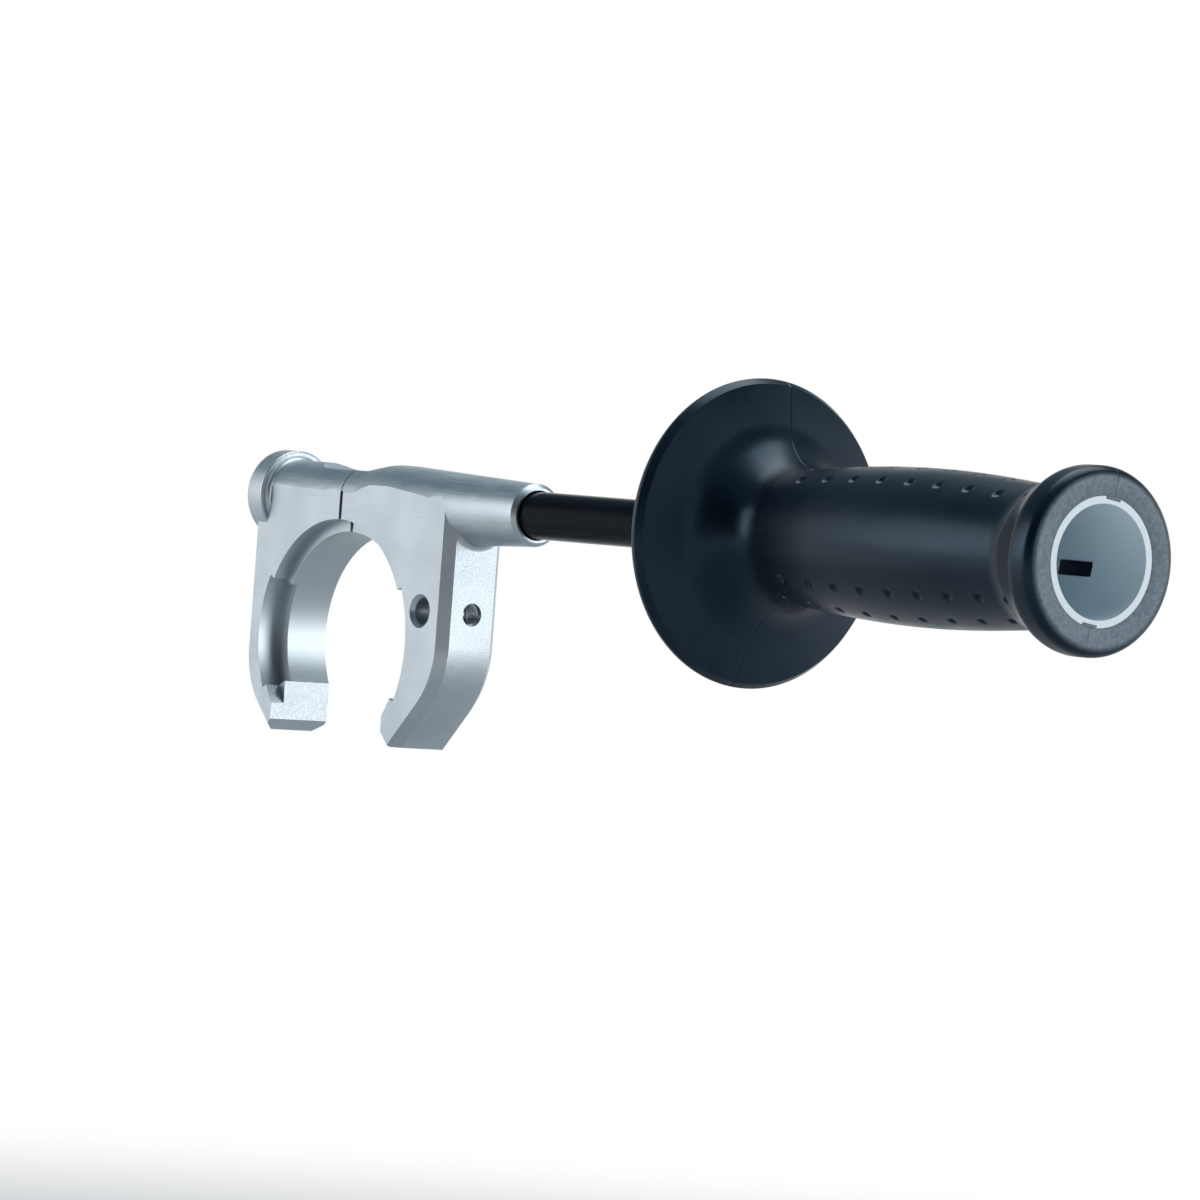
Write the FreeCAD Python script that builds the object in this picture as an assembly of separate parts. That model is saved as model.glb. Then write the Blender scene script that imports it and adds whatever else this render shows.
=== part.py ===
import FreeCAD, Part
import math
import os

from FreeCAD import Vector

# Side handle of a power tool, in millimetres.
# The origin is the centre of the clamp that holds the tool's round neck.
# +X runs along the handle towards the end of the grip, -Y is the front, +Z is up.

# Clamp
handle_height = 35.5      # handle axis above the clamp's centre
plate_half = 9.0          # half the thickness of the two clamp plates
bevel = 2.5               # bevel along the outer edges of the plates
clamp_bore_r = 27.5
collar_recess_r = 30.5    # shallow recess round the front of the clamp's bore
collar_recess_depth = 4.0
lug_recess_r = 32.2       # deeper recess that takes the lugs on the tool's neck
lug_recess_depth = 6.0
lug_half_angle = 27.0
tip_x = 24.3              # inner corner of each jaw's tip
tip_drop = 22.5
lead_in = 0.3             # how far the jaw's inner face opens towards the tip
jaw_bottom = 26.2         # flat under the tips, below the clamp's centre
slit = 1.2                # open slit between the two plates
land_gap = 0.35           # gap between the two lands above the slit
land_rise = 2.2           # lower edge of the lands, above the handle axis

# Arm with the boss
arm_reach = 47.7          # outer face of the arm from the clamp's centre
arm_slant = 40.2          # slanted outer face from the clamp's centre
arm_corner_share = 0.38   # part of the slanted face that the corner's arc takes up
boss_nose = 24.7          # boss beyond the arm's outer face
seam_r = 9.2
boss_r = 10.0
mouth_r = 7.95
boss_rise_x = 12.0
boss_top_length = 8.0
mouth_chamfer = 1.0
mouth_fit_depth = 6.0
foot_fillet = 1.8         # under the boss, where it meets the arm's outer face

# Hand rest on top of the seam
saddle_height = 7.8
saddle_left = 14.0
saddle_right = 5.0
saddle_left_run = 6.0
saddle_right_run = 9.0
saddle_corner_r = 12.0

# End jaw
jaw_reach = 38.5
jaw_slant = 37.1
jaw_corner_share = 0.58
jaw_left_end = 39.1
collar_width = 7.2
collar_r = 11.65
collar_edge_r = 1.6
collar_step_r = 0.6
collar_foot_r = 1.2
jaw_body_r = 9.4

# Depth rod hole and its screw hole
rod_hole_x = 37.5
rod_hole_z = 9.0
rod_hole_r = 3.3
rod_hole_sink = 1.05
screw_hole_r = 2.5
screw_hole_sink = 0.45

# Bolt, rod and washer
bolt_r = 4.0
bolt_hex = 13.0
bolt_head_height = 5.3
bolt_head_chamfer = 0.5   # along the bolt, where the head's corners are turned off
bolt_end_chamfer = 1.0
bolt_engagement = 26.0    # bolt inside the rod's thread with the clamp closed
hex_clearance = 0.15
pocket_depth = 6.0
rod_r = 6.0
running_clearance = 0.05
mouth_clearance = 0.36
shoulder_x = 38.0
washer_thickness = 1.5
washer_clearance = 0.3
thrust_gap = 0.3
rod_thread_spare = 9.0    # thread depth beyond the end of the bolt
rod_end_chamfer = 0.8
rod_exposed = 86.4
rod_grip_length = 62.0
rod_groove_depth = 1.0
rod_groove_width = 3.0
rod_groove_inset = 8.0

# Grip
guard_r = 37.8
guard_front_r = 36.6
guard_thickness = 4.4
guard_edge_r = 2.2
guard_rim_width = 2.6     # from the back of the guard to the start of its sloped front edge
valley_run = 10.5         # corners of the hand-hold's outline, from the back of the guard,
valley_r = 15.6           # each with the radius that rounds it
valley_round = 15.0
belly_run = 67.2
belly_corner_r = 20.1
belly_round = 400.0
neck_run = 113.4
neck_r = 16.9
neck_round = 12.0
cap_run = 124.5
cap_r = 22.45
cap_edge_r = 2.8
cap_back_r = 5.0
grip_length = 132.1
end_dish = 0.7
core_r = 15.4
core_wall = 1.76
core_front_cover = 5.0
core_depth = 60.0
window_length = 12.6
window_height = 3.7
window_inset = 19.0
window_fill = 1.2
notch_width = 4.5
notch_step = 0.8
notch_depth = 3.0
hub_clearance = 0.3
grip_rest_turn = 8.5      # how far the grip is turned from upright in the photographed pose
dimple_pitch = 10.6
dimple_first = 16.7       # first dimple of the side rows, from the end of the grip
dimple_count = 9
dimple_ball_r = 1.6
dimple_depth = 0.55
dimple_side_angles = (45.0, -45.0)
dimple_edge_angles = (72.0, -72.0)

# Places worked out from the sizes above
axis_point = Vector(0, 0, handle_height)
along = Vector(1, 0, 0)
mouth_x = arm_reach + boss_nose
guard_x = mouth_x + rod_exposed
grip_end_x = guard_x + grip_length
rod_start_x = shoulder_x + washer_thickness + thrust_gap
bolt_end_x = rod_start_x + bolt_engagement
bolt_seat_x = -jaw_left_end + pocket_depth
core_front_x = guard_x + core_front_cover
core_end_x = grip_end_x - end_dish
rod_end_x = core_front_x + rod_grip_length


def outline_face(corners):
    """Face in the XZ plane through (x, z, radius) corners, each one rounded."""
    count = len(corners)
    places = [Vector(x, 0, z) for x, z, radius in corners]
    spans = []
    for i in range(count):
        following = places[(i + 1) % count]
        spans.append(corner_arc(places[i - 1], places[i], following, corners[i][2]))
    edges = []
    for i in range(count):
        start, middle, end = spans[i]
        if middle is not None:
            edges.append(Part.Arc(start, middle, end).toShape())
        following = spans[(i + 1) % count][0]
        if (following - end).Length > 1e-6:
            edges.append(Part.LineSegment(end, following).toShape())
    return Part.Face(Part.Wire(edges))


def corner_arc(before, here, after, radius):
    """First, middle and last point of the arc that rounds one corner."""
    if radius <= 0:
        return here, None, here
    back = (before - here).normalize()
    ahead = (after - here).normalize()
    half = back.getAngle(ahead) / 2
    reach = radius / math.tan(half)
    inward = (back + ahead).normalize()
    centre = here + inward * (radius / math.sin(half))
    return here + back * reach, centre - inward * radius, here + ahead * reach


def slab(corners, half):
    """Outline in the XZ plane, as thick as twice half, centred on Y = 0."""
    face = outline_face(corners)
    face.translate(Vector(0, -half, 0))
    return face.extrude(Vector(0, 2 * half, 0))


def at_handle(corners):
    """Move (x, radius, rounding) corners from the handle axis to their height."""
    return [(x, handle_height + r, rounding) for x, r, rounding in corners]


def turned(corners):
    """Solid of revolution about the handle axis through (x, radius, rounding) corners."""
    return outline_face(at_handle(corners)).revolve(axis_point, along, 360)


def bar(radius, x_from, x_to):
    """Round bar on the handle axis."""
    start = Vector(x_from, 0, handle_height)
    return Part.makeCylinder(radius, x_to - x_from, start, along)


def hex_bar(across_flats, x_from, x_to):
    """Hexagonal bar on the handle axis with two flats upright."""
    circumradius = across_flats / 2 / math.cos(math.radians(30))
    points = []
    for i in range(7):
        angle = math.radians(60 * i + 30)
        y = circumradius * math.cos(angle)
        z = handle_height + circumradius * math.sin(angle)
        points.append(Vector(x_from, y, z))
    face = Part.Face(Part.makePolygon(points))
    return face.extrude(Vector(x_to - x_from, 0, 0))


def plate(side, reach, slant, corner_share):
    """One clamp plate: side is 1 for the arm and -1 for the end jaw."""
    slant_sum = slant * math.sqrt(2)
    tip_sum = tip_x + tip_drop
    tip_run = (slant_sum - tip_sum) / 2
    slant_length = (reach - tip_x - tip_run) * math.sqrt(2)
    corner_r = corner_share * slant_length / math.tan(math.radians(22.5))
    corners = [
        (side * slit / 2, 0, 0),
        (side * slit / 2, handle_height, 0),
        (side * reach, handle_height, 0),
        (side * reach, reach - slant_sum, corner_r),
        (side * (tip_x + tip_run), -tip_drop - tip_run, 0),
        (side * tip_x, -tip_drop, 0),
        (side * (tip_x + lead_in), 0, 0),
    ]
    body = slab(corners, plate_half)
    outer_edges = []
    for edge in body.Edges:
        place = edge.CenterOfMass
        on_face = abs(abs(place.y) - plate_half) < 1e-6
        past_tip = side * place.x > tip_x + tip_run
        if on_face and past_tip and place.z < handle_height - 1e-6:
            outer_edges.append(edge)
    body = body.makeChamfer(bevel, outer_edges)
    return body.cut(under_tips())


def under_tips():
    """Block that cuts the flat under the tips."""
    width = 4 * arm_reach
    return Part.makeBox(width, width, width, Vector(-width / 2, -width / 2, -jaw_bottom - width))


def front_ring(radius, depth):
    """Recess in the front faces, round the clamp's centre."""
    start = Vector(0, -plate_half, 0)
    return Part.makeCylinder(radius, depth, start, Vector(0, 1, 0))


def clamp_opening():
    """All that is cut out for the tool's neck, its collar and its lugs."""
    start = Vector(0, -2 * plate_half, 0)
    opening = Part.makeCylinder(clamp_bore_r, 4 * plate_half, start, Vector(0, 1, 0))
    opening = opening.fuse(front_ring(collar_recess_r, collar_recess_depth))
    for middle in (0, 180):
        ring = front_ring(lug_recess_r, lug_recess_depth)
        opening = opening.fuse(ring.common(lug_wedge(middle)))
    return opening


def lug_wedge(middle):
    """Wedge about the clamp's centre that limits one lug recess."""
    reach = 2 * lug_recess_r
    points = [Vector(0, -2 * plate_half, 0)]
    for angle in (middle - lug_half_angle, middle, middle + lug_half_angle):
        turn = math.radians(angle)
        points.append(Vector(reach * math.cos(turn), -2 * plate_half, reach * math.sin(turn)))
    points.append(points[0])
    return Part.Face(Part.makePolygon(points)).extrude(Vector(0, 4 * plate_half, 0))


def saddle():
    """Hollow across the top of both castings at the seam."""
    floor = handle_height + saddle_height
    top = handle_height + 2 * boss_r
    rise = boss_r - saddle_height
    corners = [
        (-saddle_left, floor, saddle_corner_r),
        (saddle_right, floor, saddle_corner_r),
        (saddle_right + saddle_right_run, floor + rise, 0),
        (saddle_right + saddle_right_run, top, 0),
        (-saddle_left - saddle_left_run, top, 0),
        (-saddle_left - saddle_left_run, floor + rise, 0),
    ]
    return slab(corners, 2 * plate_half)


def between_faces(body):
    """Flatten the front and back of a round casting flush with the plates."""
    size = 4 * grip_end_x
    block = Part.makeBox(size, 2 * plate_half, size, Vector(-size / 2, -plate_half, -size / 2))
    return body.common(block)


def with_boss_foot(body):
    """Fillet the boss where it grows out of the arm's outer face."""
    edges = []
    for edge in body.Edges:
        box = edge.BoundBox
        on_outer_face = abs(box.XMin - arm_reach) < 1e-6 and box.XLength < 1e-6
        is_curved = not isinstance(edge.Curve, Part.Line)
        if on_outer_face and is_curved:
            edges.append(edge)
    return body.makeFillet(foot_fillet, edges)


def clamp_arm():
    """Right-hand casting: boss for the handle rod and the fixed jaw."""
    taper_x = boss_rise_x + boss_top_length
    boss = turned([
        (-slit / 2, 0, 0),
        (-slit / 2, seam_r, 0),
        (saddle_right, seam_r, 0),
        (boss_rise_x, boss_r, 0),
        (taper_x, boss_r, 0),
        (mouth_x - mouth_chamfer, mouth_r, 0),
        (mouth_x, mouth_r - mouth_chamfer, 0),
        (mouth_x, 0, 0),
    ])
    body = between_faces(boss).fuse(plate(1, arm_reach, arm_slant, arm_corner_share))
    body = with_boss_foot(body.removeSplitter())
    body = body.cut(saddle()).cut(clamp_opening())
    body = body.cut(slit_block()).cut(arm_bores()).cut(depth_rod_holes())
    return body.removeSplitter()


def slit_block():
    """Opens the slit below the lands and sets the gap between them."""
    low = handle_height - 2 * boss_r
    slit_height = 2 * boss_r + land_rise
    slit_corner = Vector(-slit / 2, -plate_half * 2, low)
    block = Part.makeBox(slit, 4 * plate_half, slit_height, slit_corner)
    land_corner = Vector(-slit / 2, -plate_half * 2, handle_height)
    land = Part.makeBox(land_gap, 4 * plate_half, 2 * boss_r, land_corner)
    return block.fuse(land)


def arm_bores():
    """Bore for the bolt, running bore for the rod and the wider mouth."""
    bores = bar(bolt_r + running_clearance, -slit, shoulder_x)
    bores = bores.fuse(bar(rod_r + running_clearance, shoulder_x, mouth_x))
    return bores.fuse(bar(rod_r + mouth_clearance, mouth_x - mouth_fit_depth, mouth_x))


def depth_rod_holes():
    """Through hole for a depth rod and the tapped hole of its clamping screw."""
    front = Vector(rod_hole_x, -plate_half, rod_hole_z)
    back = Vector(rod_hole_x, plate_half, rod_hole_z)
    inward = Vector(0, 1, 0)
    wide = rod_hole_r + rod_hole_sink
    holes = Part.makeCylinder(rod_hole_r, 2 * plate_half, front, inward)
    holes = holes.fuse(Part.makeCone(wide, rod_hole_r, rod_hole_sink, front, inward))
    holes = holes.fuse(Part.makeCone(wide, rod_hole_r, rod_hole_sink, back, -inward))
    side = Vector(arm_reach, 0, rod_hole_z)
    tapped = Part.makeCylinder(screw_hole_r, arm_reach - rod_hole_x, side, -along)
    mouth = Part.makeCone(screw_hole_r + screw_hole_sink, screw_hole_r, screw_hole_sink, side, -along)
    return holes.fuse(tapped).fuse(mouth)


def end_jaw():
    """Left-hand casting: collar with the bolt's pocket and the moving jaw."""
    step_x = -jaw_left_end + collar_width
    body = turned([
        (-jaw_left_end, 0, 0),
        (-jaw_left_end, collar_r, collar_edge_r),
        (step_x, collar_r, collar_step_r),
        (step_x, jaw_body_r, collar_foot_r),
        (-slit / 2, seam_r, 0),
        (-slit / 2, 0, 0),
    ])
    size = 4 * collar_r
    corner = Vector(step_x + collar_foot_r - size, -size / 2, handle_height - size / 2)
    round_end = body.common(Part.makeBox(size, size, size, corner))
    body = between_faces(body).fuse(round_end)
    body = body.fuse(plate(-1, jaw_reach, jaw_slant, jaw_corner_share))
    body = body.cut(saddle()).cut(clamp_opening())
    pocket = hex_bar(bolt_hex + 2 * hex_clearance, -jaw_left_end, bolt_seat_x)
    hole = bar(bolt_r + running_clearance, bolt_seat_x, 0)
    return body.cut(pocket).cut(hole).removeSplitter()


def clamp_bolt():
    """Hexagon head bolt held against turning in the end jaw's pocket."""
    head_x = bolt_seat_x - bolt_head_height
    corner_r = bolt_hex / math.sqrt(3)
    head_blank = turned([
        (head_x, 0, 0),
        (head_x, bolt_hex / 2, 0),
        (head_x + bolt_head_chamfer, corner_r, 0),
        (bolt_seat_x, corner_r, 0),
        (bolt_seat_x, 0, 0),
    ])
    head = hex_bar(bolt_hex, head_x, bolt_seat_x).common(head_blank)
    shank_x = (head_x + bolt_seat_x) / 2
    shank = turned([
        (shank_x, 0, 0),
        (shank_x, bolt_r, 0),
        (bolt_end_x - bolt_end_chamfer, bolt_r, 0),
        (bolt_end_x, bolt_r - bolt_end_chamfer, 0),
        (bolt_end_x, 0, 0),
    ])
    return head.fuse(shank).removeSplitter()


def thrust_washer():
    """Steel washer between the rod's end and the shoulder in the boss."""
    outer = bar(rod_r - running_clearance, shoulder_x, shoulder_x + washer_thickness)
    hole = bar(bolt_r + washer_clearance, shoulder_x, shoulder_x + washer_thickness)
    return outer.cut(hole)


def handle_rod():
    """Steel rod, tapped for the bolt at one end and grooved inside the grip."""
    body = turned([
        (rod_start_x, 0, 0),
        (rod_start_x, rod_r, rod_end_chamfer),
        (rod_end_x, rod_r, rod_end_chamfer),
        (rod_end_x, 0, 0),
    ])
    thread_end = bolt_end_x + rod_thread_spare
    body = body.cut(bar(bolt_r + running_clearance, rod_start_x, thread_end))
    for place in (core_front_x + rod_groove_inset, rod_end_x - rod_groove_inset):
        ring = bar(2 * rod_r, place - rod_groove_width / 2, place + rod_groove_width / 2)
        ring = ring.cut(bar(rod_r - rod_groove_depth, place - rod_groove_width, place + rod_groove_width))
        body = body.cut(ring)
    return body


def about_handle(shape, angle):
    """Copy of a shape turned about the handle axis: 0 is the front, 90 is the top."""
    copy = shape.copy()
    copy.rotate(axis_point, along, -angle)
    return copy


def windows():
    """Two openings in the core's wall that lock the rubber to it."""
    x_from = core_end_x - window_inset - window_length
    low = handle_height - window_height / 2
    box = Part.makeBox(window_length, core_r, window_height, Vector(x_from, -1.5 * core_r, low))
    return about_handle(box, 0).fuse(about_handle(box, 180))


def rim_notches():
    """Two notches in the core's rim, at the mould's parting line."""
    x_from = core_end_x - notch_depth
    corner = Vector(x_from, -notch_width / 2, handle_height + core_r - notch_step)
    box = Part.makeBox(2 * notch_depth, notch_width, 2 * notch_step, corner)
    return about_handle(box, 0).fuse(about_handle(box, 180))


def grip_core(rod):
    """White plastic core: hollow at the grip's end and moulded round the rod."""
    body = bar(core_r, core_front_x, core_end_x)
    body = body.cut(bar(core_r - core_wall, core_end_x - core_depth, core_end_x))
    body = body.cut(windows()).cut(rim_notches())
    body = about_handle(body, grip_rest_turn)
    solid_rod = rod.fuse(bar(rod_r / 2, rod_start_x, rod_end_x))
    return body.cut(solid_rod)


def grip_outline():
    """Half section of the rubber: hub, guard, hand-hold with waist and belly, neck and end cap."""
    return [
        (guard_x, rod_r + hub_clearance, 0),
        (guard_x, guard_r, guard_edge_r),
        (guard_x + guard_rim_width, guard_r, 0),
        (guard_x + guard_thickness, guard_front_r, 0),
        (guard_x + valley_run, valley_r, valley_round),
        (guard_x + belly_run, belly_corner_r, belly_round),
        (guard_x + neck_run, neck_r, neck_round),
        (guard_x + cap_run, cap_r, cap_back_r),
        (grip_end_x, cap_r, cap_edge_r),
        (core_end_x, core_r, 0),
        (core_end_x, rod_r + hub_clearance, 0),
    ]


def dimple_rows(outer):
    """Small hollows in rows along the grip, as balls sunk into its surface."""
    balls = []
    for angles, shift in ((dimple_side_angles, 0.0), (dimple_edge_angles, dimple_pitch / 2)):
        for k in range(dimple_count):
            x = grip_end_x - dimple_first - shift - k * dimple_pitch
            radius = surface_radius(outer, x)
            centre = Vector(x, -(radius + dimple_ball_r - dimple_depth), handle_height)
            ball = Part.makeSphere(dimple_ball_r, centre, Vector(0, -1, 0))
            for angle in angles:
                balls.append(about_handle(ball, angle))
                balls.append(about_handle(ball, 180 - angle))
    return balls


def surface_radius(outer, x):
    """Radius of the grip's surface at one place along it."""
    line = Part.LineSegment(Vector(x, 0, handle_height), Vector(x, 0, handle_height + 2 * guard_r))
    inside = outer.common(line.toShape())
    return inside.BoundBox.ZMax - handle_height


def rubber_grip(core):
    """Soft rubber skin with its guard, moulded over the core."""
    outer = turned(grip_outline())
    balls = dimple_rows(outer)
    body = outer.cut(bar(core_r - window_fill, core_front_x, core_end_x))
    body = body.cut(balls)
    body = about_handle(body, grip_rest_turn)
    filled = core.fuse(bar(core_r - window_fill, core_front_x, core_end_x))
    return body.cut(filled)


def main():
    rod = handle_rod()
    core = grip_core(rod)
    parts = {
        "clamp_arm": clamp_arm(),
        "end_jaw": end_jaw(),
        "clamp_bolt": clamp_bolt(),
        "thrust_washer": thrust_washer(),
        "handle_rod": rod,
        "grip_core": core,
        "rubber_grip": rubber_grip(core),
    }
    os.makedirs("parts", exist_ok=True)
    for name, shape in parts.items():
        shape.exportStep(os.path.join("parts", name + ".step"))
        print(name, len(shape.Solids), shape.isValid(), round(shape.Volume / 1000, 2))


main()
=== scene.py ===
import math

import bmesh
import bpy
from mathutils import Matrix, Vector
from mathutils.kdtree import KDTree


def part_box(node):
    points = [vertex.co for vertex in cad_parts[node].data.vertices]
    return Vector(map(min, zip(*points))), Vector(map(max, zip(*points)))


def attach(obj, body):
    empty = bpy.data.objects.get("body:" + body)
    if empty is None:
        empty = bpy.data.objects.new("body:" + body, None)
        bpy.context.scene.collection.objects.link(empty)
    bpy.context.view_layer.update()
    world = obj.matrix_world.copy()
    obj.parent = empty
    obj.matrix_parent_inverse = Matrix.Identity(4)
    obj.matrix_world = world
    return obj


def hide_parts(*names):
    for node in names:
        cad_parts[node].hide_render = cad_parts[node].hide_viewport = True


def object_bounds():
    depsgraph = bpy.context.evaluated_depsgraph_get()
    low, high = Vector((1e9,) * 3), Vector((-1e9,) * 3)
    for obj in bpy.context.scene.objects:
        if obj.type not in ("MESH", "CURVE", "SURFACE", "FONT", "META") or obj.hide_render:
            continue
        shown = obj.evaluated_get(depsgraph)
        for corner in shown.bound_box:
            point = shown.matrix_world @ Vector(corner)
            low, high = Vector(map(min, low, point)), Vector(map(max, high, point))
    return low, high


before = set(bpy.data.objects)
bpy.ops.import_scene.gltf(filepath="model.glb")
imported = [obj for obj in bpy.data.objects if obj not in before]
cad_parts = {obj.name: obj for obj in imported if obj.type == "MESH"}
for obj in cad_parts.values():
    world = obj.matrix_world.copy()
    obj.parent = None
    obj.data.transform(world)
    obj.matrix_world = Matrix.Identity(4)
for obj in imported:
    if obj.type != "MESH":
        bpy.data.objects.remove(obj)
cad_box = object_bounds()
boss_mouth_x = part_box("clamp_arm")[1].x
guard_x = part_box("rubber_grip")[0].x
grip_end_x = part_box("rubber_grip")[1].x

# Lengths are in metres, and turns of the grip in degrees

# Camera, at the photograph's angle
CAMERA_PLACE = Vector((1.87725, -1.35943, 0.04866))
CAMERA_AZIMUTH = math.radians(52.58)
CAMERA_ELEVATION = math.radians(0.84)
CAMERA_ROLL = math.radians(4.28)
CAMERA_LENS = 270.0
SENSOR_WIDTH = 36.0
FARTHEST_SEEN = 30.0

# Floor, surround, dark card and lamps
FLOOR_DROP = 0.16
FLOOR_RADIUS = 6.0
FLOOR_SIDES = 96
FLOOR_COLOUR = (0.67, 0.695, 0.71)
FLOOR_FADE = (0.30, 0.85)
CEILING_COLOUR = (0.11, 0.19, 0.23)
CEILING_FADE = (0.12, 0.55)
SURROUND_LIGHT = 0.45
CARD_AZIMUTH = math.radians(28)
CARD_DISTANCE = 2.7
CARD_HEIGHT = 0.9
CARD_WIDTH = 4.8
CARD_TALL = 2.4
CARD_COLOUR = (0.01, 0.012, 0.015)
LAMP_TARGET = Vector((0.15, 0, 0.03))

# Castings
HANDLE_HEIGHT = 0.0355
PLATE_HALF = 0.009
CAST_EDGE = 0.0003
ROUND_PART_R = (0.0095, 0.0112)    # the round parts end between these radii
LUG_RECESS_R = 0.0322
RECESS_LEAST = 0.001    # a recess's floor lies at least this far behind the front
TIP_TOP = -0.006        # the jaws' flat tips lie below this height
MOUTH_FACE = 0.0012
ROD_HOLE_X = 0.0375
ROD_HOLE_Z = 0.009
ROD_HOLE_WIDE_R = 0.0045

# Share of a face's normal that lies along a direction
SQUARE = 0.99
NEARLY_SQUARE = 0.95
MOSTLY = 0.9
HALF = 0.5

# Screw hole and its thread
SCREW_HOLE_R = 0.0025
HOLE_END_MARGIN = 0.0002
HOLE_WALL_MARGIN = 0.0001
THREAD_ROOT_R = 0.0029
THREAD_PITCH = 0.001
THREAD_START = 0.0415
THREAD_END = 0.0472
THREAD_RUN_IN = 0.0003
THREAD_STEPS = 48
ROOT_SHARE = 0.42       # half the ridge's width at its root, as a share of the pitch
CREST_SHARE = 0.08
RIDGE_SINK = 0.0001

# Rubber's outline; VALLEY, BELLY, NECK and CAP are (place from the guard's back, radius, rounding)
GUARD_R = 0.0378
GUARD_FRONT_R = 0.0366
GUARD_EDGE = 0.0022
GUARD_RIM = 0.0026
GUARD_RIM_EDGE = 0.0002
GUARD_THICKNESS = 0.0044
GUARD_FRONT_EDGE = 0.0003
VALLEY = (0.0105, 0.0156, 0.015)
BELLY = (0.0672, 0.0201, 0.400)
NECK = (0.1134, 0.0169, 0.012)
CAP = (0.1245, 0.02245, 0.005)
CAP_EDGE = 0.0028
GRIP_LENGTH = 0.1321
END_DISH = 0.0007
SEAT_EDGE = 0.0002
HUB_R = 0.0063
ARC_STEP = 0.0006
ARC_STEPS_LEAST = 4
SKIN_STEPS = 320

# Dimples and parting lines; rows are angles on the grip
GRIP_REST_TURN = 8.5
SIDE_ROWS = (45, 135, 225, 315)
EDGE_ROWS = (72, 108, 252, 288)
DIMPLE_PITCH = 0.0106
DIMPLE_FIRST = 0.0167   # from the end of the grip
DIMPLE_COUNT = 9
DIMPLE_REACH = 0.0014
DIMPLE_DEPTH = 0.00066
RING_GAP = DIMPLE_REACH / 4
RINGS_EACH_SIDE = 5
PARTING_MARGIN = 0.02
PARTING_HALF = 0.00009
PARTING_DEPTH = 0.00006
PARTING_SIDES = 2

# Core, and the openings in it that the rubber fills
CORE_R = 0.0154
CORE_FRONT = 0.005
CORE_EDGE = 0.00015
WINDOW_INSET = 0.019
WINDOW_LENGTH = 0.0126
WINDOW_HEIGHT = 0.0037
WINDOW_FLOOR_R = 0.0142
WINDOW_ANGLES = (0, 180)
NOTCH_WIDTH = 0.0045
NOTCH_DEPTH = 0.003
NOTCH_STEP = 0.0008
NOTCH_ANGLES = (90, 270)
PLUG_EDGE = 0.0002
PLUG_OVERLAP = 0.0001

# Meshes
WELD = 2e-6
FLAT_ANGLE = math.radians(0.4)
SHARP_ANGLE = math.radians(16)
SMOOTH_ANGLE = math.radians(40)
FLAT_FACE_WEIGHT = 100
EDGE_STEPS = 2
PLACE_DIGITS = 6        # rows of dimples this close to each other are one row

# Finishes; the end face's lighter grey fades out between two depths and between two radii
NOISE_SPAN = (0.3, 0.7)    # where most of a noise texture's values lie
END_FACE_DEPTH = (0.0022, 0.0012)
END_FACE_R = (0.0198, 0.0212)
SPECK_SHARE = 0.84
WORN_SHARE = 0.92
BRUSH_SMOOTHER = 0.06
BRUSH_ROUGHER = 0.1

# Sockets of a Mix node that share their names, by number
COLOUR_A = 6
COLOUR_B = 7
COLOUR_RESULT = 2
VALUE_FACTOR = 0
VALUE_A = 2
VALUE_B = 3
VALUE_RESULT = 0


# Working on pieces

def clear_selection():
    """Leave edit mode with nothing selected."""
    if bpy.context.object and bpy.context.object.mode != "OBJECT":
        bpy.ops.object.mode_set(mode="OBJECT")
    bpy.ops.object.select_all(action="DESELECT")


def choose(piece, kind, test):
    """Select the vertices, edges or faces of a piece in edit mode that pass a test."""
    bpy.ops.object.mode_set(mode="EDIT")
    bpy.ops.mesh.select_all(action="DESELECT")
    bpy.ops.mesh.select_mode(type=kind)
    mesh = bmesh.from_edit_mesh(piece.data)
    group = {"VERT": mesh.verts, "EDGE": mesh.edges, "FACE": mesh.faces}[kind]
    for element in group:
        element.select_set(test(element))
    mesh.select_flush_mode()
    bmesh.update_edit_mesh(piece.data)


def copy_of_node(node, name, body):
    """A piece with its own welded copy of a CAD node's mesh, standing for that node."""
    clear_selection()
    piece = bpy.data.objects.new(name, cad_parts[node].data.copy())
    bpy.context.scene.collection.objects.link(piece)
    bpy.context.view_layer.objects.active = piece
    piece.select_set(True)
    bpy.ops.mesh.customdata_custom_splitnormals_clear()
    bpy.ops.object.mode_set(mode="EDIT")
    bpy.ops.mesh.select_all(action="SELECT")
    bpy.ops.mesh.remove_doubles(threshold=WELD)
    bpy.ops.mesh.dissolve_limited(angle_limit=FLAT_ANGLE)
    bpy.ops.object.mode_set(mode="OBJECT")
    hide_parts(node)
    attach(piece, body)
    return piece


def ease_edges(piece, width):
    """Round every sharp edge a little, as casting, moulding or deburring leaves it."""
    bevel = piece.modifiers.new("eased_edges", "BEVEL")
    bevel.width = width
    bevel.segments = EDGE_STEPS
    bevel.limit_method = "ANGLE"
    bevel.angle_limit = SHARP_ANGLE
    bevel.use_clamp_overlap = True
    bevel.miter_outer = "MITER_ARC"
    clear_selection()
    bpy.context.view_layer.objects.active = piece
    piece.select_set(True)
    bpy.ops.object.modifier_apply(modifier=bevel.name)
    bpy.ops.object.shade_smooth_by_angle(angle=SMOOTH_ANGLE)
    flatten = piece.modifiers.new("flat_faces", "WEIGHTED_NORMAL")
    flatten.keep_sharp = True
    flatten.weight = FLAT_FACE_WEIGHT
    bpy.ops.object.modifier_apply(modifier=flatten.name)


def join_to(piece, others):
    """Make other meshes part of a piece."""
    clear_selection()
    for other in others:
        other.select_set(True)
    piece.select_set(True)
    bpy.context.view_layer.objects.active = piece
    bpy.ops.object.join()


def dress(node, material):
    """Give a CAD node its finish."""
    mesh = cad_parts[node].data
    mesh.materials.clear()
    mesh.materials.append(material)


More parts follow.
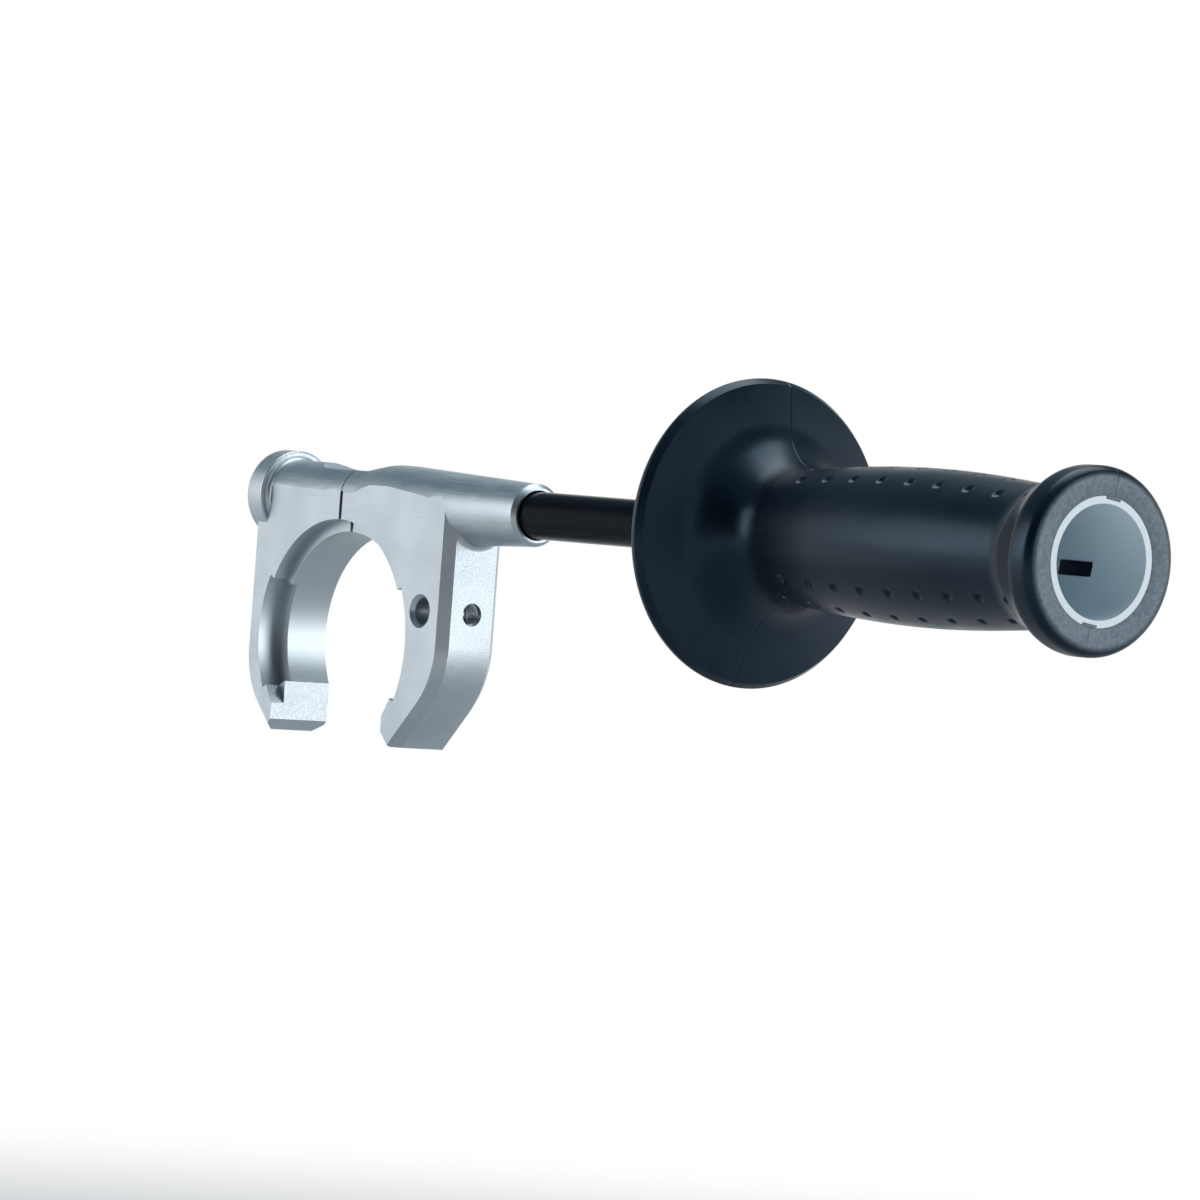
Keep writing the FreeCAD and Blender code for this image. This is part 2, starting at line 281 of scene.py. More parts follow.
def paint(piece, *materials):
    """Give a piece its materials, in the order of its slots."""
    piece.data.materials.clear()
    for material in materials:
        piece.data.materials.append(material)


def give_faces(piece, slot, test):
    """Give one of a piece's materials to the faces that pass a test."""
    clear_selection()
    bpy.context.view_layer.objects.active = piece
    choose(piece, "FACE", test)
    piece.active_material_index = slot
    bpy.ops.object.material_slot_assign()
    bpy.ops.object.mode_set(mode="OBJECT")


# Castings

def is_machined(face):
    """Is a face cut after casting: the clamp's bore and recesses, the rod hole or the mouth?"""
    place = face.calc_center_median()
    from_clamp = math.hypot(place.x, place.z)
    inward = -(face.normal.x * place.x + face.normal.z * place.z) / max(from_clamp, WELD)
    on_floor = face.normal.y < -MOSTLY and place.y > -PLATE_HALF + RECESS_LEAST
    on_tip = abs(face.normal.x) > SQUARE and place.z < TIP_TOP
    at_bore = from_clamp < LUG_RECESS_R + CAST_EDGE and (inward > HALF or on_floor)
    from_hole = math.hypot(place.x - ROD_HOLE_X, place.z - ROD_HOLE_Z)
    in_hole = from_hole < ROD_HOLE_WIDE_R and abs(face.normal.y) < NEARLY_SQUARE
    at_mouth = place.x > boss_mouth_x - MOUTH_FACE
    return (at_bore and not on_tip) or in_hole or at_mouth


def from_screw_axis(place):
    """Distance of a point from the screw hole's axis."""
    return math.hypot(place.y, place.z - ROD_HOLE_Z)


def widen_screw_hole(casting):
    """Open the screw hole from its thread's core to the root of the thread."""
    def is_wall(face):
        place = face.calc_center_median()
        past_rod_hole = ROD_HOLE_X < place.x < THREAD_END + HOLE_END_MARGIN
        return past_rod_hole and abs(from_screw_axis(place) - SCREW_HOLE_R) < HOLE_WALL_MARGIN

    def is_threaded(vertex):
        in_run = THREAD_START - WELD < vertex.co.x < THREAD_END + HOLE_END_MARGIN
        return in_run and abs(from_screw_axis(vertex.co) - SCREW_HOLE_R) < HOLE_WALL_MARGIN / 2

    clear_selection()
    bpy.context.view_layer.objects.active = casting
    for x in (THREAD_START - THREAD_RUN_IN, THREAD_START):
        choose(casting, "FACE", is_wall)
        bpy.ops.mesh.bisect(plane_co=(x, 0, 0), plane_no=(1, 0, 0))
    choose(casting, "VERT", is_threaded)
    growth = THREAD_ROOT_R / SCREW_HOLE_R
    bpy.ops.transform.resize(value=(1, growth, growth), center_override=(0, 0, ROD_HOLE_Z))
    bpy.ops.object.mode_set(mode="OBJECT")


def screw_thread():
    """Helical ridge of the thread in the screw hole, from a section of four corners."""
    clear_selection()
    bpy.ops.mesh.primitive_plane_add(size=1, location=(0, 0, ROD_HOLE_Z))
    ridge = bpy.context.object
    ridge.name = "screw_thread"
    half_root = ROOT_SHARE * THREAD_PITCH
    half_crest = CREST_SHARE * THREAD_PITCH
    root_r = THREAD_ROOT_R + RIDGE_SINK
    section = {(-1, -1): (-half_root, root_r), (1, -1): (half_root, root_r),
               (-1, 1): (-half_crest, SCREW_HOLE_R), (1, 1): (half_crest, SCREW_HOLE_R)}
    for vertex in ridge.data.vertices:
        x, radius = section[(round(2 * vertex.co.x), round(2 * vertex.co.y))]
        vertex.co = (THREAD_START + half_root + x, radius, 0)
    bpy.ops.object.mode_set(mode="EDIT")
    bpy.ops.mesh.select_all(action="SELECT")
    bpy.ops.mesh.delete(type="ONLY_FACE")
    bpy.ops.object.mode_set(mode="OBJECT")
    screw = ridge.modifiers.new("thread", "SCREW")
    screw.axis = "X"
    screw.steps = screw.render_steps = THREAD_STEPS
    screw.iterations = round((THREAD_END - THREAD_START) / THREAD_PITCH) - 1
    screw.screw_offset = THREAD_PITCH
    bpy.ops.object.modifier_apply(modifier=screw.name)
    bpy.ops.object.transform_apply(location=True, rotation=False, scale=False)
    bpy.ops.object.mode_set(mode="EDIT")
    bpy.ops.mesh.select_all(action="SELECT")
    bpy.ops.mesh.fill_holes(sides=4)
    bpy.ops.mesh.normals_make_consistent(inside=False)
    bpy.ops.object.mode_set(mode="OBJECT")
    bpy.ops.object.shade_smooth_by_angle(angle=SMOOTH_ANGLE)
    return ridge


# Rubber of the grip

def at_grip(x, radius, angle):
    """Point on the grip; angle 0 is the front and 90 the top, before the grip's rest turn."""
    turn = math.radians(angle + GRIP_REST_TURN)
    return Vector((x, -radius * math.cos(turn), HANDLE_HEIGHT + radius * math.sin(turn)))


def grip_angle(place):
    """Angle about the handle axis at which at_grip gives a point."""
    turn = math.degrees(math.atan2(place.z - HANDLE_HEIGHT, -place.y))
    return (turn - GRIP_REST_TURN) % 360


def grip_radius(place):
    """Distance of a point from the handle axis."""
    return math.hypot(place.y, place.z - HANDLE_HEIGHT)


def rounded(corners):
    """Closed run of (x, radius) points through (x, radius, rounding) corners."""
    points = []
    for i, (x, r, rounding) in enumerate(corners):
        here = Vector((x, r))
        if rounding == 0:
            points.append(here)
            continue
        back = (Vector(corners[i - 1][:2]) - here).normalized()
        ahead = (Vector(corners[(i + 1) % len(corners)][:2]) - here).normalized()
        half = back.angle(ahead) / 2
        reach = rounding / math.tan(half)
        centre = here + (back + ahead).normalized() * rounding / math.sin(half)
        start = here + back * reach - centre
        finish = here + ahead * reach - centre
        first = math.atan2(start.y, start.x)
        sweep = math.remainder(math.atan2(finish.y, finish.x) - first, 2 * math.pi)
        count = max(ARC_STEPS_LEAST, round(abs(sweep) * rounding / ARC_STEP))
        for k in range(count + 1):
            angle = first + sweep * k / count
            points.append(centre + rounding * Vector((math.cos(angle), math.sin(angle))))
    return points


def skin_outline():
    """Closed section of the rubber: guard, valley, belly, neck, end cap and the core's seat."""
    cap_x = guard_x + GRIP_LENGTH
    return rounded([
        (guard_x, HUB_R, 0),
        (guard_x, GUARD_R, GUARD_EDGE),
        (guard_x + GUARD_RIM, GUARD_R, GUARD_RIM_EDGE),
        (guard_x + GUARD_THICKNESS, GUARD_FRONT_R, GUARD_FRONT_EDGE),
        (guard_x + VALLEY[0], *VALLEY[1:]),
        (guard_x + BELLY[0], *BELLY[1:]),
        (guard_x + NECK[0], *NECK[1:]),
        (guard_x + CAP[0], *CAP[1:]),
        (cap_x, CAP[1], CAP_EDGE),
        (cap_x - END_DISH, CORE_R, SEAT_EDGE),
        (guard_x + CORE_FRONT, CORE_R, 0),
        (guard_x + CORE_FRONT, HUB_R, 0),
    ])


def radius_along(points, x):
    """Radius of the hand-hold at one place along it."""
    for before, after in zip(points, points[1:]):
        if before.x <= x < after.x and before.y > CORE_R:
            return before.y + (after.y - before.y) * (x - before.x) / (after.x - before.x)


def dimple_places():
    """Place along the grip and angle of every dimple."""
    first = guard_x + GRIP_LENGTH - DIMPLE_FIRST
    for rows, shift in ((SIDE_ROWS, 0), (EDGE_ROWS, DIMPLE_PITCH / 2)):
        for k in range(DIMPLE_COUNT):
            for angle in rows:
                yield first - shift - k * DIMPLE_PITCH, angle


def with_dimple_rings(points):
    """The same section with its points set close where the dimples are."""
    rows = sorted({round(x, PLACE_DIGITS) for x, angle in dimple_places()})
    rings = range(-RINGS_EACH_SIDE, RINGS_EACH_SIDE + 1)
    spots = [x + k * RING_GAP for x in rows for k in rings]
    hold = [Vector((x, radius_along(points, x))) for x in spots]
    kept = [p for p in points if p.y <= CORE_R or not spots[0] <= p.x <= spots[-1]]
    neck = next(i for i, p in enumerate(kept) if p.x > spots[-1] and p.y > CORE_R)
    return kept[:neck] + hold + kept[neck:]


def spun_skin(section):
    """Mesh of the rubber, turned from its section about the handle axis, left in edit mode."""
    clear_selection()
    bpy.ops.mesh.primitive_circle_add(vertices=len(section), radius=GUARD_R,
                                      location=(0, 0, HANDLE_HEIGHT))
    skin = bpy.context.object
    skin.name = "grip_skin"
    for vertex, point in zip(skin.data.vertices, section):
        vertex.co = at_grip(point.x, point.y, 90) - skin.location
    screw = skin.modifiers.new("turned", "SCREW")
    screw.axis = "X"
    screw.steps = screw.render_steps = SKIN_STEPS
    screw.use_merge_vertices = True
    screw.merge_threshold = WELD
    bpy.ops.object.modifier_apply(modifier=screw.name)
    bpy.ops.object.transform_apply(location=True, rotation=False, scale=False)
    bpy.ops.object.mode_set(mode="EDIT")
    bpy.ops.mesh.select_all(action="SELECT")
    bpy.ops.mesh.remove_doubles(threshold=WELD)
    bpy.ops.mesh.normals_make_consistent(inside=False)
    return skin


def press_dimples(skin, section):
    """Push a small bowl into the surface at every dimple."""
    finder = KDTree(len(skin.data.vertices))
    mesh = bmesh.from_edit_mesh(skin.data)
    for vertex in mesh.verts:
        finder.insert(vertex.co, vertex.index)
    finder.balance()
    bpy.ops.mesh.select_mode(type="VERT")
    for x, angle in dimple_places():
        place = at_grip(x, radius_along(section, x), angle)
        inward = (at_grip(x, 0, angle) - place).normalized()
        nearest = finder.find(place)[1]
        bpy.ops.mesh.select_all(action="DESELECT")
        mesh = bmesh.from_edit_mesh(skin.data)
        mesh.verts.ensure_lookup_table()
        mesh.verts[nearest].select_set(True)
        bpy.ops.transform.translate(value=inward * DIMPLE_DEPTH, use_proportional_edit=True,
                                    proportional_edit_falloff="INVERSE_SQUARE",
                                    proportional_size=DIMPLE_REACH)


def on_parting_line(vertex):
    """Is a vertex on the outside of the skin, on one of the two lines where the mould closed?"""
    off = abs((grip_angle(vertex.co) % 180) - 90)
    return off < PARTING_MARGIN and grip_radius(vertex.co) > CORE_R + WELD


def cut_parting_lines(skin):
    """Fine groove along both parting lines."""
    choose(skin, "EDGE", lambda edge: all(on_parting_line(vertex) for vertex in edge.verts))
    bpy.ops.mesh.bevel(offset=PARTING_HALF, segments=PARTING_SIDES, affect="EDGES")
    choose(skin, "VERT", on_parting_line)
    bpy.ops.transform.shrink_fatten(value=-PARTING_DEPTH)
    bpy.ops.object.mode_set(mode="OBJECT")


def plug(name, x_from, x_to, width, low_r, high_r, angle):
    """Block of rubber that fills an opening in the core."""
    clear_selection()
    middle = ((x_from + x_to) / 2, 0, (low_r + high_r) / 2)
    bpy.ops.mesh.primitive_cube_add(size=1, location=middle)
    block = bpy.context.object
    block.name = name
    block.scale = (x_to - x_from, width, high_r - low_r)
    bpy.ops.object.transform_apply(location=True, rotation=False, scale=True)
    bpy.ops.object.mode_set(mode="EDIT")
    bpy.ops.mesh.select_all(action="SELECT")
    bpy.ops.mesh.bevel(offset=PLUG_EDGE, segments=EDGE_STEPS, affect="EDGES")
    bpy.ops.object.mode_set(mode="OBJECT")
    block.location = (0, 0, HANDLE_HEIGHT)
    block.rotation_euler = (math.radians(90 - angle - GRIP_REST_TURN), 0, 0)
    bpy.ops.object.transform_apply(location=True, rotation=True, scale=False)
    return block


def core_plugs():
    """The rubber that fills the core's two windows and the two notches in its rim."""
    rim_x = guard_x + GRIP_LENGTH - END_DISH
    window_end = rim_x - WINDOW_INSET
    blocks = []
    for angle in WINDOW_ANGLES:
        blocks.append(plug("window_plug", window_end - WINDOW_LENGTH, window_end, WINDOW_HEIGHT,
                           WINDOW_FLOOR_R, CORE_R + PLUG_OVERLAP, angle))
    for angle in NOTCH_ANGLES:
        blocks.append(plug("notch_fill", rim_x - NOTCH_DEPTH, rim_x, NOTCH_WIDTH,
                           CORE_R - NOTCH_STEP, CORE_R + PLUG_OVERLAP, angle))
    return blocks


def grip_skin():
    """The rubber, with its dimples, parting lines and plugs, in place of the plain solid."""
    section = with_dimple_rings(skin_outline())
    skin = spun_skin(section)
    press_dimples(skin, section)
    cut_parting_lines(skin)
    join_to(skin, core_plugs())
    bpy.ops.object.shade_smooth_by_angle(angle=SMOOTH_ANGLE)
    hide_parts("rubber_grip")
    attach(skin, "handle")
    return skin


# Materials

class Finish:
    """A node material with one Principled shader, on Object coordinates in metres."""

    def __init__(self, name, colour, roughness, metallic=0.0):
        self.material = bpy.data.materials.new(name)
        self.material.use_nodes = True
        self.tree = self.material.node_tree
        self.shader = self.tree.nodes["Principled BSDF"]
        self.shader.inputs["Base Color"].default_value = (*colour, 1.0)
        self.shader.inputs["Roughness"].default_value = roughness
        self.shader.inputs["Metallic"].default_value = metallic
        self.place = self.add("ShaderNodeTexCoord").outputs["Object"]

    def add(self, kind, **values):
        """New node, with its settings."""
        node = self.tree.nodes.new(kind)
        for key, value in values.items():
            setattr(node, key, value)
        return node

    def link(self, source, target):
        """Feed one socket from another."""
        self.tree.links.new(source, target)

    def noise(self, scale, detail=3.0, stretch=(1.0, 1.0, 1.0), distortion=0.0):
        """Noise texture whose scale is in cells a metre, stretched along the axes."""
        mapping = self.add("ShaderNodeMapping")
        mapping.inputs["Scale"].default_value = stretch
        self.link(self.place, mapping.inputs["Vector"])
        texture = self.add("ShaderNodeTexNoise")
        texture.inputs["Scale"].default_value = scale
        texture.inputs["Detail"].default_value = detail
        texture.inputs["Distortion"].default_value = distortion
        self.link(mapping.outputs["Vector"], texture.inputs["Vector"])
        return texture.outputs["Fac"]

    def noise_of(self, first, second, scale):
        """Noise of two distances, so that it runs along where both stay the same."""
        pair = self.add("ShaderNodeCombineXYZ")
        self.link(first, pair.inputs["X"])
        self.link(second, pair.inputs["Y"])
        texture = self.add("ShaderNodeTexNoise")
        texture.inputs["Scale"].default_value = scale
        self.link(pair.outputs["Vector"], texture.inputs["Vector"])
        return texture.outputs["Fac"]

    def along(self, axis):
        """Coordinate along one axis."""
        parts = self.add("ShaderNodeSeparateXYZ")
        self.link(self.place, parts.inputs["Vector"])
        return parts.outputs[axis]

    def from_line(self, along, through):
        """Distance from a line along one axis through a point."""
        mapping = self.add("ShaderNodeMapping")
        mapping.inputs["Scale"].default_value = [0 if axis == along else 1 for axis in "XYZ"]
        mapping.inputs["Location"].default_value = [-value for value in through]
        self.link(self.place, mapping.inputs["Vector"])
        length = self.add("ShaderNodeVectorMath", operation="LENGTH")
        self.link(mapping.outputs["Vector"], length.inputs[0])
        return length.outputs["Value"]

    def spread(self, value, low, high, to_low=0.0, to_high=1.0):
        """Map a value from one range to another, held at its ends."""
        node = self.add("ShaderNodeMapRange")
        ends = {"From Min": low, "From Max": high, "To Min": to_low, "To Max": to_high}
        for key, number in ends.items():
            node.inputs[key].default_value = number
        self.link(value, node.inputs["Value"])
        return node.outputs["Result"]

    def both(self, first, second):
        """Two masks as one."""
        node = self.add("ShaderNodeMath", operation="MULTIPLY")
        self.link(first, node.inputs[0])
        self.link(second, node.inputs[1])
        return node.outputs["Value"]

    def pick(self, factor, first, second):
        """Value between two others."""
        node = self.add("ShaderNodeMix")
        self.link(factor, node.inputs[VALUE_FACTOR])
        self.link(first, node.inputs[VALUE_A])
        self.link(second, node.inputs[VALUE_B])
        return node.outputs[VALUE_RESULT]

    def blend(self, factor, first, second):
        """Colour between two others, each a colour or a socket."""
        node = self.add("ShaderNodeMix", data_type="RGBA")
        self.link(factor, node.inputs["Factor"])
        for socket, colour in ((COLOUR_A, first), (COLOUR_B, second)):
            if isinstance(colour, tuple):
                node.inputs[socket].default_value = (*colour, 1.0)
            else:
                self.link(colour, node.inputs[socket])
        return node.outputs[COLOUR_RESULT]

    def darker(self, colour, share):
        """A colour multiplied by one number."""
        node = self.add("ShaderNodeMix", data_type="RGBA", blend_type="MULTIPLY")
        node.inputs["Factor"].default_value = 1.0
        self.link(colour, node.inputs[COLOUR_A])
        node.inputs[COLOUR_B].default_value = (share, share, share, 1.0)
        return node.outputs[COLOUR_RESULT]

    def set_colour(self, socket):
        """Take the colour from a socket."""
        self.link(socket, self.shader.inputs["Base Color"])

    def set_roughness(self, socket):
        """Take the roughness from a socket."""
        self.link(socket, self.shader.inputs["Roughness"])

    def set_shine(self, level, tint):
        """Strength and colour of the reflection, the same all over the surface."""
        self.shader.inputs["Specular IOR Level"].default_value = level
        self.shader.inputs["Specular Tint"].default_value = (*tint, 1.0)

    def emboss(self, value, distance, strength):
        """Bump from a value."""
        bump = self.add("ShaderNodeBump")
        bump.inputs["Distance"].default_value = distance
        bump.inputs["Strength"].default_value = strength
        self.link(value, bump.inputs["Height"])
        self.link(bump.outputs["Normal"], self.shader.inputs["Normal"])


def cast_metal():
    """Cast aluminium: satin and sandy with faint clouds, brushed lengthwise on the round parts."""
    finish = Finish("cast_metal", colour=(0.48, 0.57, 0.62), roughness=0.45, metallic=1.0)
    from_handle = finish.from_line("X", through=(0, 0, HANDLE_HEIGHT))
    is_round = finish.spread(from_handle, *ROUND_PART_R, to_low=0.6, to_high=0.0)
    clouds = finish.spread(finish.noise(scale=60.0, detail=5.0), low=0.35, high=0.65)
    grain = finish.noise(scale=2200.0, detail=3.0)
    streaks = finish.noise(scale=1700.0, detail=4.0, stretch=(0.05, 1.0, 1.0))
    sandy = finish.blend(clouds, (0.45, 0.51, 0.56), (0.53, 0.59, 0.64))
    marks = finish.pick(is_round, grain, streaks)
    specks = finish.spread(marks, *NOISE_SPAN)
    finish.set_colour(finish.blend(specks, finish.darker(sandy, SPECK_SHARE), sandy))
    finish.set_roughness(finish.spread(marks, *NOISE_SPAN, to_low=0.36, to_high=0.52))
    finish.emboss(marks, distance=0.00006, strength=0.5)
    return finish.material


def machined_metal():
    """The same metal where it was cut: a little darker and smoother, with fine cutter rings."""
    finish = Finish("machined_metal", colour=(0.50, 0.56, 0.60), roughness=0.32, metallic=1.0)
    from_bore = finish.from_line("Y", through=(0, 0, 0))
    rings = finish.noise_of(from_bore, finish.along("Y"), scale=3200.0)
    finish.set_colour(finish.blend(rings, (0.40, 0.455, 0.495), (0.49, 0.545, 0.585)))
    finish.set_roughness(finish.spread(rings, *NOISE_SPAN, to_low=0.36, to_high=0.46))
    finish.emboss(rings, distance=0.00002, strength=0.35)
    return finish.material


def dark_rubber():
    """Moulded rubber: navy-black with a cool sheen, and a much lighter mottled grey on the flat
    end face.
    """
    finish = Finish("dark_rubber", colour=(0.004, 0.009, 0.017), roughness=0.31)
    finish.set_shine(level=0.35, tint=(0.40, 0.71, 1.0))
    bloom = finish.spread(finish.noise(scale=70.0, detail=5.0), low=0.35, high=0.7)
    grain = finish.noise(scale=3000.0, detail=2.0)
    end_mottle_noise = finish.noise(scale=900.0, detail=7.0, distortion=0.5)
    end_mottle = finish.spread(end_mottle_noise, low=0.36, high=0.64)
    end_fade_start, end_fade_full = (grip_end_x - depth for depth in END_FACE_DEPTH)
    near_end = finish.spread(finish.along("X"), end_fade_start, end_fade_full)
    from_handle = finish.from_line("X", through=(0, 0, HANDLE_HEIGHT))
    inside_edge = finish.spread(from_handle, *END_FACE_R, to_low=1.0, to_high=0.0)
    on_end_face = finish.both(near_end, inside_edge)
    body_colour = finish.blend(bloom, (0.003, 0.007, 0.0135), (0.0048, 0.0105, 0.0195))
    # The flat end face, inside its rounded edge, is coloured a much lighter mottled grey than the
    # rest of the rubber
    end_face_grey = finish.blend(end_mottle, (0.120, 0.142, 0.165), (0.185, 0.212, 0.236))
    finish.set_colour(finish.blend(on_end_face, body_colour, end_face_grey))
    finish.set_roughness(finish.spread(bloom, 0.0, 1.0, to_low=0.26, to_high=0.36))
    finish.emboss(grain, distance=0.00004, strength=0.4)
    return finish.material


def white_plastic():
    """Satin white plastic of the grip's core, a little cool, with a faint flow from the mould."""
    finish = Finish("white_plastic", colour=(0.74, 0.86, 0.94), roughness=0.34)
    flow = finish.noise(scale=55.0, detail=3.0, stretch=(0.4, 1.0, 1.0))
    grain = finish.noise(scale=2500.0, detail=2.0)
    finish.set_colour(finish.blend(flow, (0.69, 0.83, 0.92), (0.79, 0.90, 0.97)))
    finish.set_roughness(finish.spread(flow, *NOISE_SPAN, to_low=0.30, to_high=0.40))
    finish.emboss(grain, distance=0.00002, strength=0.3)
    return finish.material


def black_rod():
    """Gloss black rod with faint draw marks along it."""
    finish = Finish("black_rod", colour=(0.003, 0.004, 0.006), roughness=0.16)
    finish.set_shine(level=0.07, tint=(0.55, 0.80, 1.0))
    marks = finish.noise(scale=1100.0, detail=3.0, stretch=(0.015, 1.0, 1.0))
    finish.set_colour(finish.blend(marks, (0.002, 0.003, 0.005), (0.005, 0.007, 0.010)))
    finish.set_roughness(finish.spread(marks, *NOISE_SPAN, to_low=0.12, to_high=0.22))
    finish.emboss(marks, distance=0.00002, strength=0.4)
    return finish.material


def plain_steel(name, colour, roughness):
    """Plated or plain steel with fine brush marks."""
    finish = Finish(name, colour, roughness, metallic=1.0)
    marks = finish.noise(scale=1800.0, stretch=(0.1, 1.0, 1.0))
    worn = tuple(WORN_SHARE * value for value in colour)
    finish.set_colour(finish.blend(marks, worn, colour))
    smoothest = roughness - BRUSH_SMOOTHER
    roughest = roughness + BRUSH_ROUGHER
    finish.set_roughness(finish.spread(marks, *NOISE_SPAN, smoothest, roughest))
    return finish.material


# Studio and camera

def smooth_fade(tree, value, span):
    """Value that rises smoothly from 0 to 1 over a span of another."""
    fade = tree.nodes.new("ShaderNodeMapRange")
    fade.interpolation_type = "SMOOTHSTEP"
    for key, end in zip(("From Min", "From Max"), span):
        fade.inputs[key].default_value = end
    tree.links.new(value, fade.inputs["Value"])
    return fade.outputs["Result"]


def studio_floor():
    """Pale floor that fades to the white of the surround away from the object."""
    clear_selection()
    centre = (cad_box[0] + cad_box[1]) / 2
    bpy.ops.mesh.primitive_circle_add(vertices=FLOOR_SIDES, radius=FLOOR_RADIUS, fill_type="NGON",
                                      location=(centre.x, centre.y, cad_box[0].z - FLOOR_DROP))
    floor = bpy.context.object
    floor.name = "studio_floor"
    material = bpy.data.materials.new("studio_floor")
    material.use_nodes = True
    tree = material.node_tree
    tree.nodes.clear()
    output = tree.nodes.new("ShaderNodeOutputMaterial")
    mix = tree.nodes.new("ShaderNodeMixShader")
    pale = tree.nodes.new("ShaderNodeBsdfDiffuse")
    pale.inputs["Color"].default_value = (*FLOOR_COLOUR, 1.0)
    white = tree.nodes.new("ShaderNodeEmission")
    place = tree.nodes.new("ShaderNodeTexCoord")
    length = tree.nodes.new("ShaderNodeVectorMath")
    length.operation = "LENGTH"
    tree.links.new(place.outputs["Object"], length.inputs[0])
    tree.links.new(smooth_fade(tree, length.outputs["Value"], FLOOR_FADE), mix.inputs["Fac"])
    tree.links.new(pale.outputs["BSDF"], mix.inputs[1])
    tree.links.new(white.outputs["Emission"], mix.inputs[2])
    tree.links.new(mix.outputs["Shader"], output.inputs["Surface"])
    floor.data.materials.append(material)


def studio_world():
    """White surround at eye level under a darker ceiling; as a light it is dimmer."""
    world = bpy.data.worlds.new("studio")
    world.use_nodes = True
    bpy.context.scene.world = world
    tree = world.node_tree
    tree.nodes.clear()
    output = tree.nodes.new("ShaderNodeOutputWorld")
    background = tree.nodes.new("ShaderNodeBackground")
    direction = tree.nodes.new("ShaderNodeTexCoord")
    parts = tree.nodes.new("ShaderNodeSeparateXYZ")
    colour = tree.nodes.new("ShaderNodeMix")
    colour.data_type = "RGBA"
    colour.inputs[COLOUR_A].default_value = (1.0, 1.0, 1.0, 1.0)
    colour.inputs[COLOUR_B].default_value = (*CEILING_COLOUR, 1.0)
    tree.links.new(direction.outputs["Generated"], parts.inputs["Vector"])
    tree.links.new(smooth_fade(tree, parts.outputs["Z"], CEILING_FADE), colour.inputs["Factor"])
    tree.links.new(colour.outputs[COLOUR_RESULT], background.inputs["Color"])
    path = tree.nodes.new("ShaderNodeLightPath")
    seen = path.outputs["Is Camera Ray"]
    for ray in ("Is Glossy Ray", "Is Transmission Ray"):
        either = tree.nodes.new("ShaderNodeMath")
        either.operation = "MAXIMUM"
        tree.links.new(seen, either.inputs[0])
        tree.links.new(path.outputs[ray], either.inputs[1])
        seen = either.outputs["Value"]
    strength = tree.nodes.new("ShaderNodeMapRange")
    strength.inputs["To Min"].default_value = SURROUND_LIGHT
    strength.inputs["To Max"].default_value = 1.0
    tree.links.new(seen, strength.inputs["Value"])
    tree.links.new(strength.outputs["Result"], background.inputs["Strength"])
    tree.links.new(background.outputs["Background"], output.inputs["Surface"])


def dark_card():
    """Dark card in front of the object, out of the camera's sight, that glossy surfaces show."""
    clear_selection()
    away = Vector((math.sin(CARD_AZIMUTH), -math.cos(CARD_AZIMUTH), 0))
    place = away * CARD_DISTANCE + Vector((LAMP_TARGET.x, 0, CARD_HEIGHT))
    bpy.ops.mesh.primitive_plane_add(size=1, location=place,
                                     rotation=(math.radians(90), 0, CARD_AZIMUTH))
    card = bpy.context.object
    card.name = "dark_card"
    card.scale = (CARD_WIDTH, CARD_TALL, 1)
    card.visible_camera = False
    material = bpy.data.materials.new("dark_card")
    material.use_nodes = True
    shader = material.node_tree.nodes["Principled BSDF"]
    shader.inputs["Base Color"].default_value = (*CARD_COLOUR, 1.0)
    shader.inputs["Roughness"].default_value = 1.0
    card.data.materials.append(material)


def softbox(name, place, size, power, target=LAMP_TARGET):
    """Rectangular lamp that points at the object."""
    light = bpy.data.lights.new(name, "AREA")
    light.shape = "RECTANGLE"
    light.size, light.size_y = size
    light.energy = power
    lamp = bpy.data.objects.new(name, light)
    bpy.context.scene.collection.objects.link(lamp)
    lamp.location = place
    aim = Vector(target) - Vector(place)
    lamp.rotation_euler = aim.to_track_quat("-Z", "Y").to_euler()


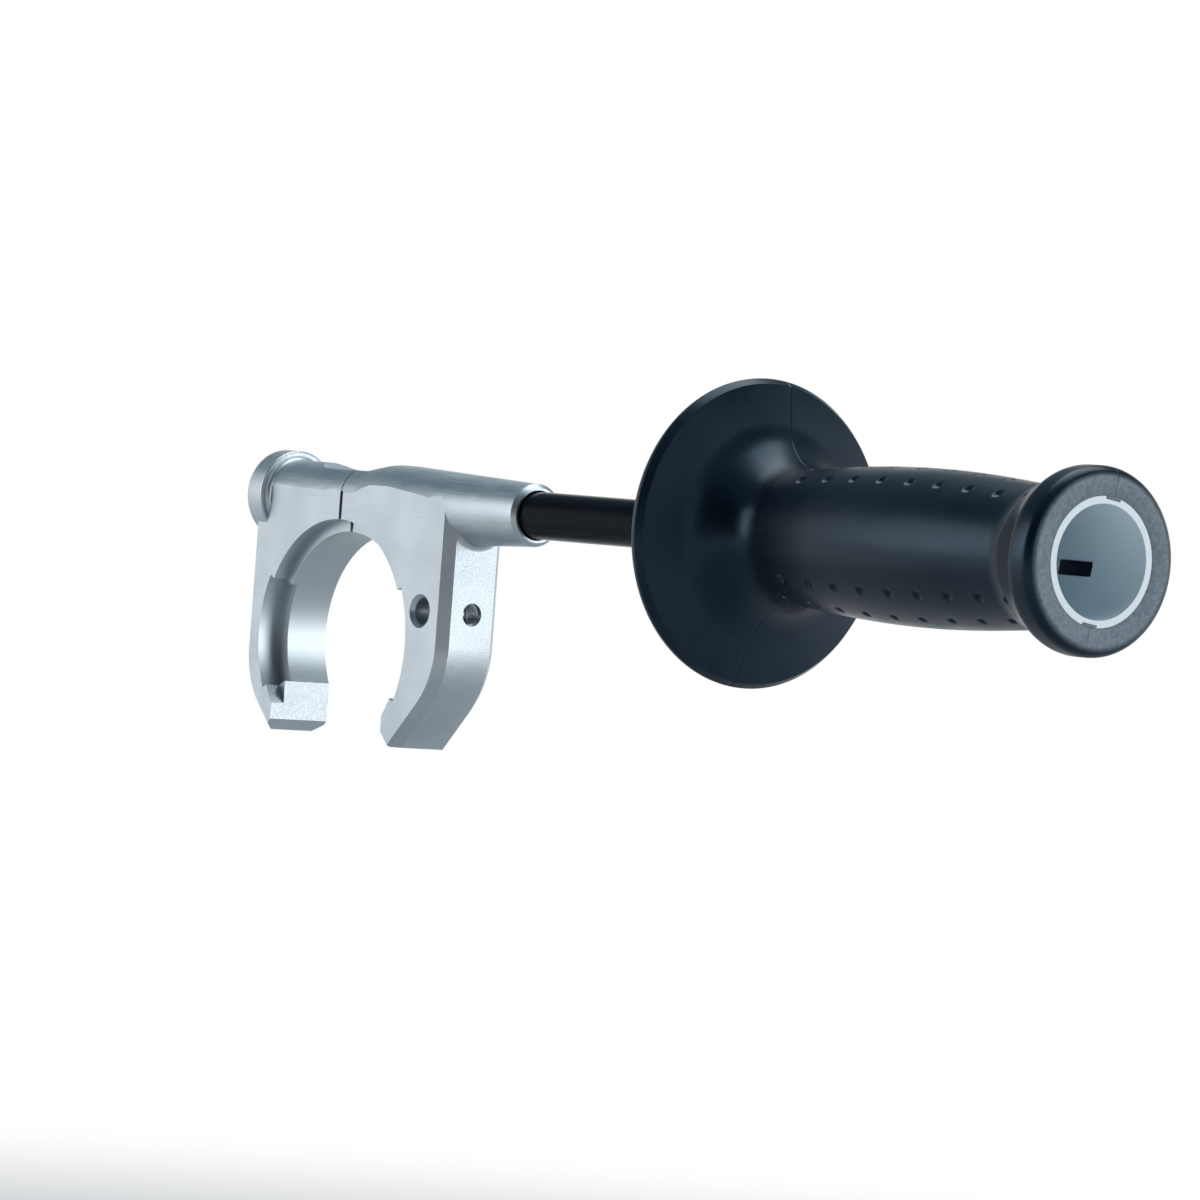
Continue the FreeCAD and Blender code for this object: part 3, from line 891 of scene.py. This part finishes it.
def camera_at_photo_angle():
    """Camera where the photograph was taken from, turned and rolled as it was."""
    azimuth, elevation, roll = CAMERA_AZIMUTH, CAMERA_ELEVATION, CAMERA_ROLL
    back = Vector((math.sin(azimuth) * math.cos(elevation),
                   -math.cos(azimuth) * math.cos(elevation),
                   math.sin(elevation)))
    right = Vector((0, 0, 1)).cross(back).normalized()
    up = back.cross(right)
    rolled_right = right * math.cos(roll) + up * math.sin(roll)
    rolled_up = up * math.cos(roll) - right * math.sin(roll)
    camera = bpy.data.objects.new("camera", bpy.data.cameras.new("camera"))
    bpy.context.scene.collection.objects.link(camera)
    camera.data.sensor_width = SENSOR_WIDTH
    camera.data.lens = CAMERA_LENS
    camera.data.clip_end = FARTHEST_SEEN
    turn = Matrix((rolled_right, rolled_up, back)).transposed()
    camera.matrix_world = Matrix.Translation(CAMERA_PLACE) @ turn.to_4x4()
    bpy.context.scene.camera = camera


# The handle's pieces and their finishes

metal = cast_metal()
machined = machined_metal()
arm = copy_of_node("clamp_arm", "arm_casting", "arm")
jaw = copy_of_node("end_jaw", "jaw_casting", "jaw")
widen_screw_hole(arm)
for casting in (arm, jaw):
    ease_edges(casting, CAST_EDGE)
    paint(casting, metal, machined)
    give_faces(casting, slot=1, test=is_machined)
thread = screw_thread()
paint(thread, machined)
join_to(arm, [thread])

core = copy_of_node("grip_core", "core_moulding", "handle")
ease_edges(core, CORE_EDGE)
paint(core, white_plastic())
skin = grip_skin()
paint(skin, dark_rubber())
dress("clamp_bolt", plain_steel("bolt_steel", (0.55, 0.58, 0.60), roughness=0.3))
dress("thrust_washer", plain_steel("washer_steel", (0.59, 0.61, 0.62), roughness=0.28))
dress("handle_rod", black_rod())

# The studio round them

studio_floor()
studio_world()
dark_card()
softbox("overhead", place=(0.05, 0.35, 1.3), size=(1.4, 0.9), power=14.0)
softbox("front_left", place=(-0.65, -1.25, 0.4), size=(0.7, 0.9), power=5.5)
softbox("right", place=(1.3, 0.85, 0.2), size=(0.8, 0.8), power=6.0, target=(0.2, 0, 0.03))
camera_at_photo_angle()

bpy.context.scene.view_settings.view_transform = "Standard"
